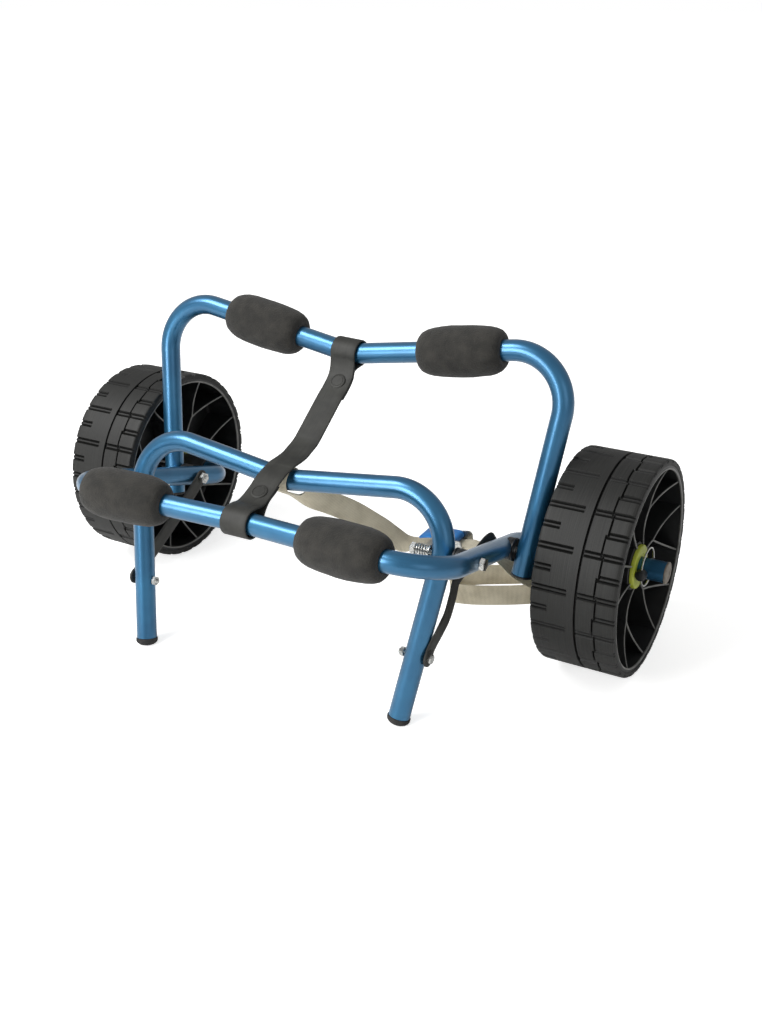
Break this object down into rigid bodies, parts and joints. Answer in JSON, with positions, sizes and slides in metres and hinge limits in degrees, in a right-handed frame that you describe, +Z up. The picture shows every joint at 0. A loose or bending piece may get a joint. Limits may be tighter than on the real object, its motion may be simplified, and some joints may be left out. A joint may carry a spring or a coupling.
{
  "type": "kayak cart",
  "caption": "Folding kayak cart of bent blue tube with foam bunk pads, kickstand, straps and airless spoked wheels.",
  "frame": {"origin": "on the ground under the middle of the cart's bounding box", "axes": "+X along the axle, +Y from the kickstand to the rear bunk, +Z up"},
  "size_m": [0.8108, 0.4368, 0.3971],
  "materials": {
    "anodised": "blue anodised, satin",
    "foam": "closed cell foam, matt",
    "black_plastic": "moulded, matt",
    "black_rubber": "moulded, matt",
    "tread": "moulded rubber, matt",
    "wheel_plastic": "moulded, semi matt",
    "lime_plastic": "moulded, satin",
    "grey_plastic": "moulded, matt",
    "strap_rubber": "matt",
    "webbing": "woven",
    "zinc_steel": "bright zinc plated",
    "blue_lever": "moulded, satin"
  },
  "bodies": {
    "main_frame": {"main_frame_tube": "anodised", "main_left_pad": "foam", "main_right_pad": "foam", "left_rear_saddle": "black_plastic", "right_rear_saddle": "black_plastic", "left_kickstand_saddle": "black_plastic", "right_kickstand_saddle": "black_plastic", "left_axle_spacer": "black_plastic", "right_axle_spacer": "black_plastic", "left_retaining_pin": "black_plastic", "right_retaining_pin": "black_plastic", "left_axle_plug": "grey_plastic", "right_axle_plug": "grey_plastic", "centre_strap": "strap_rubber", "left_limit_strap": "strap_rubber", "right_limit_strap": "strap_rubber", "tie_down_webbing": "webbing", "left_rear_pivot_bolt": "zinc_steel", "right_rear_pivot_bolt": "zinc_steel", "left_rear_pivot_nut": "zinc_steel", "right_rear_pivot_nut": "zinc_steel", "left_kickstand_pivot_bolt": "zinc_steel", "right_kickstand_pivot_bolt": "zinc_steel", "left_kickstand_pivot_nut": "zinc_steel", "right_kickstand_pivot_nut": "zinc_steel", "left_kickstand_washer": "zinc_steel", "right_kickstand_washer": "zinc_steel", "left_kickstand_spring": "zinc_steel", "right_kickstand_spring": "zinc_steel", "buckle_body": "zinc_steel", "lever_pin": "zinc_steel"},
    "rear_bunk": {"rear_bunk_tube": "anodised", "rear_left_pad": "foam", "rear_right_pad": "foam", "left_rear_leg_plug": "black_plastic", "right_rear_leg_plug": "black_plastic"},
    "kickstand": {"kickstand_tube": "anodised", "left_foot": "black_rubber", "right_foot": "black_rubber", "left_limit_strap_bolt": "zinc_steel", "right_limit_strap_bolt": "zinc_steel", "left_limit_strap_nut": "zinc_steel", "right_limit_strap_nut": "zinc_steel"},
    "left_wheel": {"left_wheel_body": "wheel_plastic", "left_tyre": "tread", "left_outer_bush": "lime_plastic", "left_inner_bush": "lime_plastic"},
    "right_wheel": {"right_wheel_body": "wheel_plastic", "right_tyre": "tread", "right_outer_bush": "lime_plastic", "right_inner_bush": "lime_plastic"},
    "left_ring": {"left_pin_ring": "zinc_steel"},
    "right_ring": {"right_pin_ring": "zinc_steel"},
    "lever": {"cam_lever": "blue_lever"}
  },
  "joints": [
    {"name": "rear_bunk_fold", "type": "hinge", "parent": "main_frame", "child": "rear_bunk", "pos_m": [0, 0.02205, 0.15232], "axis": [1, 0, 0], "range_deg": [-6, 68], "deforming": ["centre_strap"]},
    {"name": "kickstand_fold", "type": "hinge", "parent": "main_frame", "child": "kickstand", "pos_m": [0, -0.09834, 0.19284], "axis": [1, 0, 0], "range_deg": [0, 64], "deforming": ["left_limit_strap", "right_limit_strap", "tie_down_webbing"]},
    {"name": "left_wheel_spin", "type": "hinge", "parent": "main_frame", "child": "left_wheel", "pos_m": [0, 0.08838, 0.13], "axis": [1, 0, 0], "continuous": true},
    {"name": "right_wheel_spin", "type": "hinge", "parent": "main_frame", "child": "right_wheel", "pos_m": [0, 0.08838, 0.13], "axis": [1, 0, 0], "continuous": true},
    {"name": "left_ring_swing", "type": "hinge", "parent": "main_frame", "child": "left_ring", "pos_m": [-0.37884, 0.06938, 0.13], "axis": [0, 0, 1], "range_deg": [0, 100]},
    {"name": "right_ring_swing", "type": "hinge", "parent": "main_frame", "child": "right_ring", "pos_m": [0.37884, 0.06938, 0.13], "axis": [0, 0, -1], "range_deg": [0, 100]},
    {"name": "cam_lever_lift", "type": "hinge", "parent": "main_frame", "child": "lever", "pos_m": [0.15535, 0.04038, 0.13813], "axis": [0, 1, 0], "range_deg": [0, 35], "stiffness_Nm_per_rad": 0.05, "springref_deg": -11.46}
  ]
}
